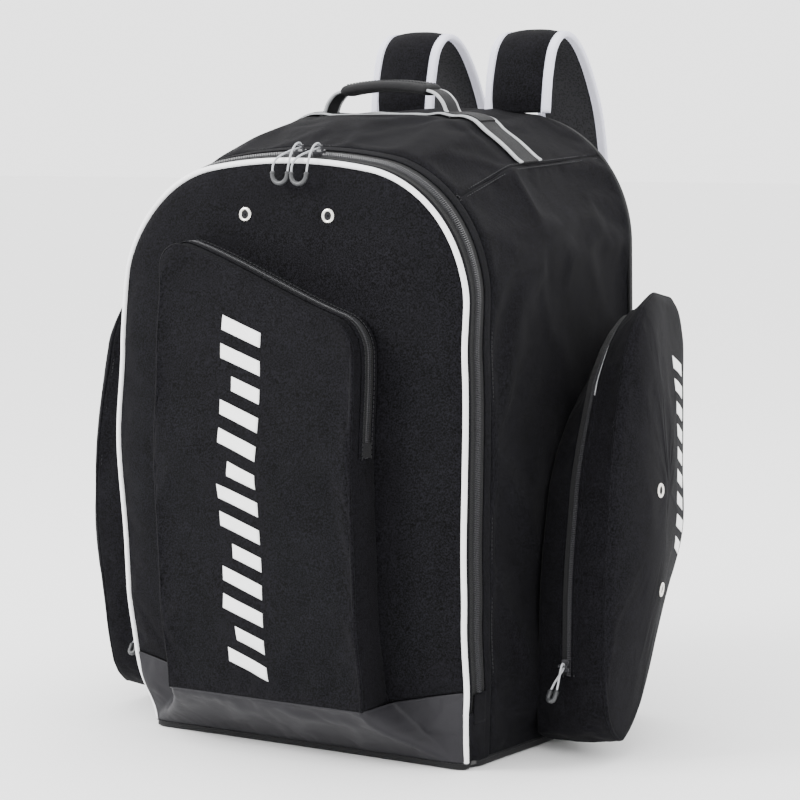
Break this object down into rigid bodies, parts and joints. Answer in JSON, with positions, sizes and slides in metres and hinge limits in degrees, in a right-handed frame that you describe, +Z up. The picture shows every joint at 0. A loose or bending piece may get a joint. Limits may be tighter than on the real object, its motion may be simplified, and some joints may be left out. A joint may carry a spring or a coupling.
{
  "type": "skate bag",
  "caption": "Large arch-shaped ice-hockey backpack with a hinged front flap, front pocket, side skate pockets, top handle and shoulder straps.",
  "frame": {"origin": "centre of the bag body's underside, where it stands on the floor", "axes": "+Z up, the front flap faces -Y, +X is to the right of a viewer who faces the front"},
  "size_m": [0.674, 0.5148, 0.7527],
  "materials": {
    "fabric_black": "matt 600D polyester weave",
    "tarpaulin": "coated tarpaulin, soft sheen",
    "piping_white": "smooth vinyl",
    "binding_grey": "folded binding tape",
    "webbing_black": "ribbed polyester webbing",
    "mesh_black": "air mesh over foam",
    "nickel": "nickel plate",
    "zipper_black": "nylon coil on woven tape",
    "slider_metal": "black enamel",
    "cord_grey": "braided cord",
    "moulded_black": "moulded nylon, satin",
    "foam_grey": "closed-cell foam",
    "board_black": "polyethylene sheet"
  },
  "bodies": {
    "bag": {"back_foam": "foam_grey", "back_pads": "mesh_black", "back_panel": "fabric_black", "base_binding": "webbing_black", "base_board": "board_black", "base_panel": "fabric_black", "body_zip_teeth": "zipper_black", "front_gusset": "fabric_black", "front_skirt": "tarpaulin", "handle_anchors": "webbing_black", "lower_anchors": "webbing_black", "lower_piping": "piping_white", "lower_webbing": "webbing_black", "pocket_face_left": "fabric_black", "pocket_face_right": "fabric_black", "pocket_gusset_left": "fabric_black", "pocket_gusset_right": "fabric_black", "side_eyelets": "nickel", "side_panel_left": "fabric_black", "side_panel_right": "fabric_black", "side_pocket_piping": "fabric_black", "side_pocket_zips": "zipper_black", "strap_yoke": "fabric_black", "top_panel": "fabric_black", "top_webbing": "webbing_black", "zip_end_patches": "fabric_black"},
    "front_flap": {"front_panel": "fabric_black", "flap_skirt": "tarpaulin", "flap_gusset": "fabric_black", "flap_piping": "piping_white", "flap_zip_teeth": "zipper_black", "front_eyelets": "nickel", "front_pocket_gusset": "fabric_black", "front_pocket_face": "fabric_black", "front_pocket_piping": "fabric_black", "front_pocket_zip": "zipper_black"},
    "main_slider_left": {"main_slider_left": "slider_metal"},
    "main_pull_left": {"main_pull_left_cord": "cord_grey", "main_pull_left_clip": "moulded_black"},
    "main_slider_right": {"main_slider_right": "slider_metal"},
    "main_pull_right": {"main_pull_right_cord": "cord_grey", "main_pull_right_clip": "moulded_black"},
    "front_pocket_slider": {"front_pocket_slider": "slider_metal"},
    "front_pocket_pull": {"front_pocket_pull_cord": "cord_grey", "front_pocket_pull_clip": "moulded_black"},
    "side_slider_left": {"side_slider_left": "slider_metal"},
    "side_pull_left": {"side_pull_left_cord": "cord_grey", "side_pull_left_clip": "moulded_black"},
    "side_slider_right": {"side_slider_right": "slider_metal"},
    "side_pull_right": {"side_pull_right_cord": "cord_grey", "side_pull_right_clip": "moulded_black"},
    "carry_handle": {"handle_webbing": "webbing_black", "handle_grip": "fabric_black"},
    "shoulder_strap_left": {"shoulder_strap_left": "fabric_black", "strap_binding_left": "binding_grey", "ladder_lock_left": "moulded_black"},
    "shoulder_strap_right": {"shoulder_strap_right": "fabric_black", "strap_binding_right": "binding_grey", "ladder_lock_right": "moulded_black"}
  },
  "joints": [
    {"name": "flap_hinge", "type": "hinge", "parent": "bag", "child": "front_flap", "pos_m": [0, -0.1675, 0.06], "axis": [1, 0, 0], "range_deg": [0, 90]},
    {"name": "main_slide_left", "type": "hinge", "parent": "front_flap", "child": "main_slider_left", "pos_m": [0, -0.146, 0.02583], "axis": [0, 1, 0], "range_deg": [-9.5, 0]},
    {"name": "main_slide_right", "type": "hinge", "parent": "front_flap", "child": "main_slider_right", "pos_m": [0, -0.146, 0.02583], "axis": [0, 1, 0], "range_deg": [0, 6.5]},
    {"name": "main_pull_lift_left", "type": "hinge", "parent": "main_slider_left", "child": "main_pull_left", "pos_m": [0, -0.14841, 0.63621], "axis": [-1, 0, 0], "range_deg": [0, 80]},
    {"name": "main_pull_lift_right", "type": "hinge", "parent": "main_slider_right", "child": "main_pull_right", "pos_m": [0.024, -0.14841, 0.63573], "axis": [-1, 0, 0], "range_deg": [0, 80]},
    {"name": "front_pocket_slide", "type": "slide", "parent": "front_flap", "child": "front_pocket_slider", "axis": [0, 0, 1], "range_m": [0, 0.035]},
    {"name": "front_pocket_pull_lift", "type": "hinge", "parent": "front_pocket_slider", "child": "front_pocket_pull", "pos_m": [-0.1413, -0.1895, 0.465], "axis": [0, 1, 0], "range_deg": [0, 80]},
    {"name": "side_slide_left", "type": "slide", "parent": "bag", "child": "side_slider_left", "axis": [0, 0.0194, 0.9998], "range_m": [0, 0.08]},
    {"name": "side_slide_right", "type": "slide", "parent": "bag", "child": "side_slider_right", "axis": [0, 0.0194, 0.9998], "range_m": [0, 0.08]},
    {"name": "side_pull_lift_left", "type": "hinge", "parent": "side_slider_left", "child": "side_pull_left", "pos_m": [-0.265, -0.09557, 0.09918], "axis": [-1, 0, 0], "range_deg": [0, 60]},
    {"name": "side_pull_lift_right", "type": "hinge", "parent": "side_slider_right", "child": "side_pull_right", "pos_m": [0.265, -0.06757, 0.09918], "axis": [-1, 0, 0], "range_deg": [0, 60]},
    {"name": "handle_swing", "type": "hinge", "parent": "bag", "child": "carry_handle", "pos_m": [0, 0.022, 0.676], "axis": [1, 0, 0], "range_deg": [-40, 40]},
    {"name": "strap_swing_left", "type": "hinge", "parent": "bag", "child": "shoulder_strap_left", "pos_m": [-0.077, 0.165, 0.664], "axis": [1, 0, 0], "range_deg": [0, 10]},
    {"name": "strap_swing_right", "type": "hinge", "parent": "bag", "child": "shoulder_strap_right", "pos_m": [0.077, 0.165, 0.664], "axis": [1, 0, 0], "range_deg": [0, 10]}
  ]
}
